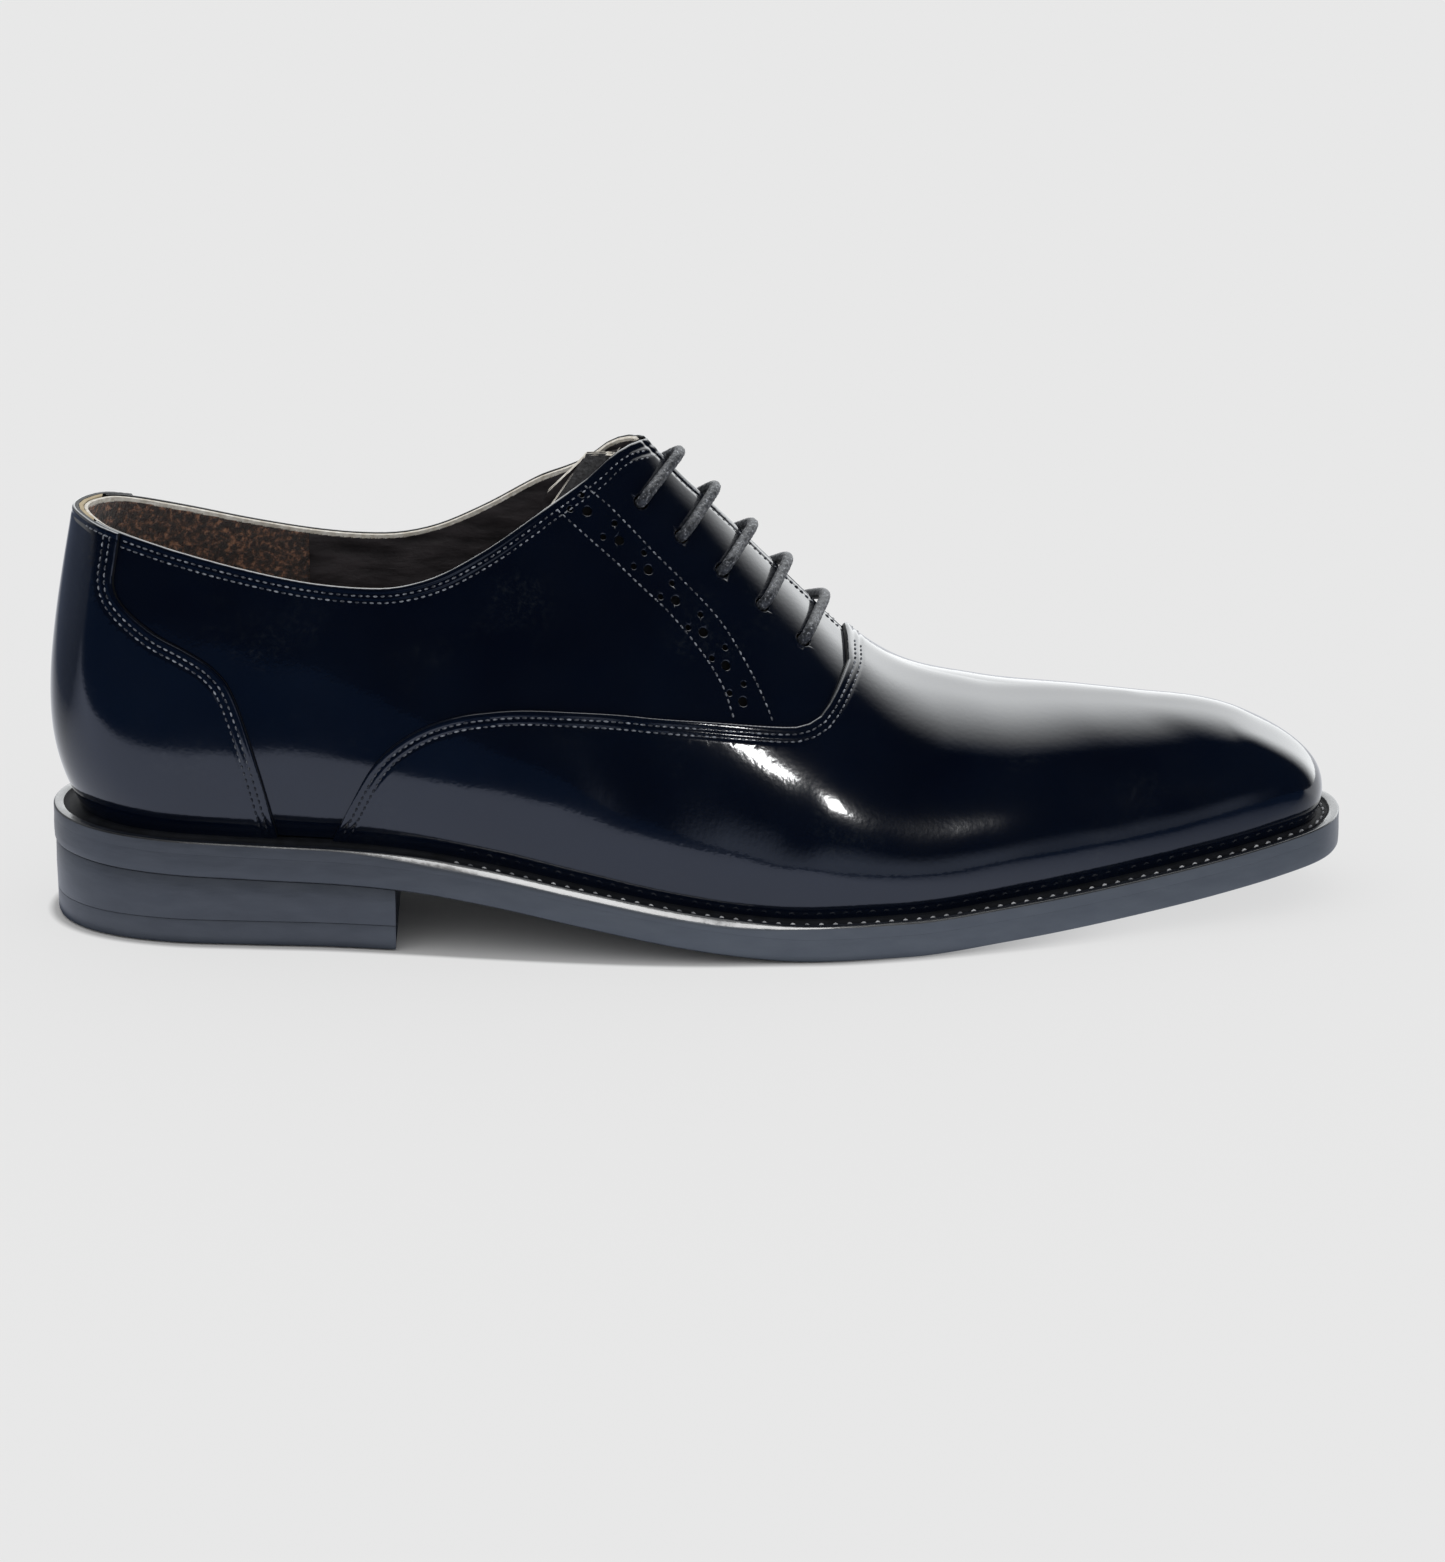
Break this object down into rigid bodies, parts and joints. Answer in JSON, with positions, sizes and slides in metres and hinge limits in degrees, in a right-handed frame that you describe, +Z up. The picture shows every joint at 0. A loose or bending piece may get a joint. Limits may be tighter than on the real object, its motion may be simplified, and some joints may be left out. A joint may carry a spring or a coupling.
{
  "type": "oxford shoe",
  "caption": "Right dress shoe with closed lacing, punched trim beside the facings, a long soft-square toe, a stitched welt and a stacked heel.",
  "frame": {"origin": "centre of the heel's flat tread, on the ground", "axes": "+X to the toe, +Y to the inner (medial) side of the foot, +Z up"},
  "size_m": [0.3065, 0.1035, 0.1126],
  "materials": {
    "upper_leather": "high-shine polished leather",
    "welt_leather": "glossy",
    "sole_rubber": "satin painted edge",
    "top_lift_rubber": "satin",
    "cork": "matte cork",
    "spring_steel": "brushed",
    "nail_steel": "plain",
    "insole_board": "matte",
    "sock_leather": "matte smooth",
    "stiffener_board": "matte",
    "backer_cloth": "matte",
    "suede": "napped suede",
    "lining_leather": "matte, lightly creased",
    "vamp_lining_cloth": "matte twill",
    "tongue_leather": "semi-gloss",
    "tongue_lining_leather": "matte",
    "eyelet_brass": "plain",
    "lace_cord": "waxed round braid",
    "lace_tip_plastic": "smooth"
  },
  "bodies": {
    "shoe": {"vamp": "upper_leather", "counter": "upper_leather", "quarter_lateral": "upper_leather", "quarter_medial": "upper_leather", "welt": "welt_leather", "outsole": "sole_rubber", "heel_stack": "sole_rubber", "heel_top_lift": "top_lift_rubber", "cork_filler": "cork", "shank": "spring_steel", "insole": "insole_board", "sock_liner": "sock_leather", "heel_stiffener": "stiffener_board", "toe_puff": "stiffener_board", "vamp_backer": "backer_cloth", "heel_grip": "suede", "quarter_lining_lateral": "lining_leather", "quarter_lining_medial": "lining_leather", "vamp_lining": "vamp_lining_cloth", "lace": "lace_cord", "lace_tip_lateral": "lace_tip_plastic", "lace_tip_medial": "lace_tip_plastic", "heel_nail_1": "nail_steel", "heel_nail_2": "nail_steel", "heel_nail_3": "nail_steel", "heel_nail_4": "nail_steel", "heel_nail_5": "nail_steel", "eyelet_lateral_1": "eyelet_brass", "eyelet_lateral_2": "eyelet_brass", "eyelet_lateral_3": "eyelet_brass", "eyelet_lateral_4": "eyelet_brass", "eyelet_lateral_5": "eyelet_brass", "eyelet_medial_1": "eyelet_brass", "eyelet_medial_2": "eyelet_brass", "eyelet_medial_3": "eyelet_brass", "eyelet_medial_4": "eyelet_brass", "eyelet_medial_5": "eyelet_brass"},
    "tongue": {"tongue": "tongue_leather", "tongue_lining": "tongue_lining_leather"}
  },
  "joints": [
    {"name": "tongue_root", "type": "hinge", "parent": "shoe", "child": "tongue", "pos_m": [0.157, 0.003, 0.055], "axis": [0, -1, 0], "range_deg": [0, 14], "stiffness_Nm_per_rad": 0.06, "springref_deg": -22.92}
  ]
}
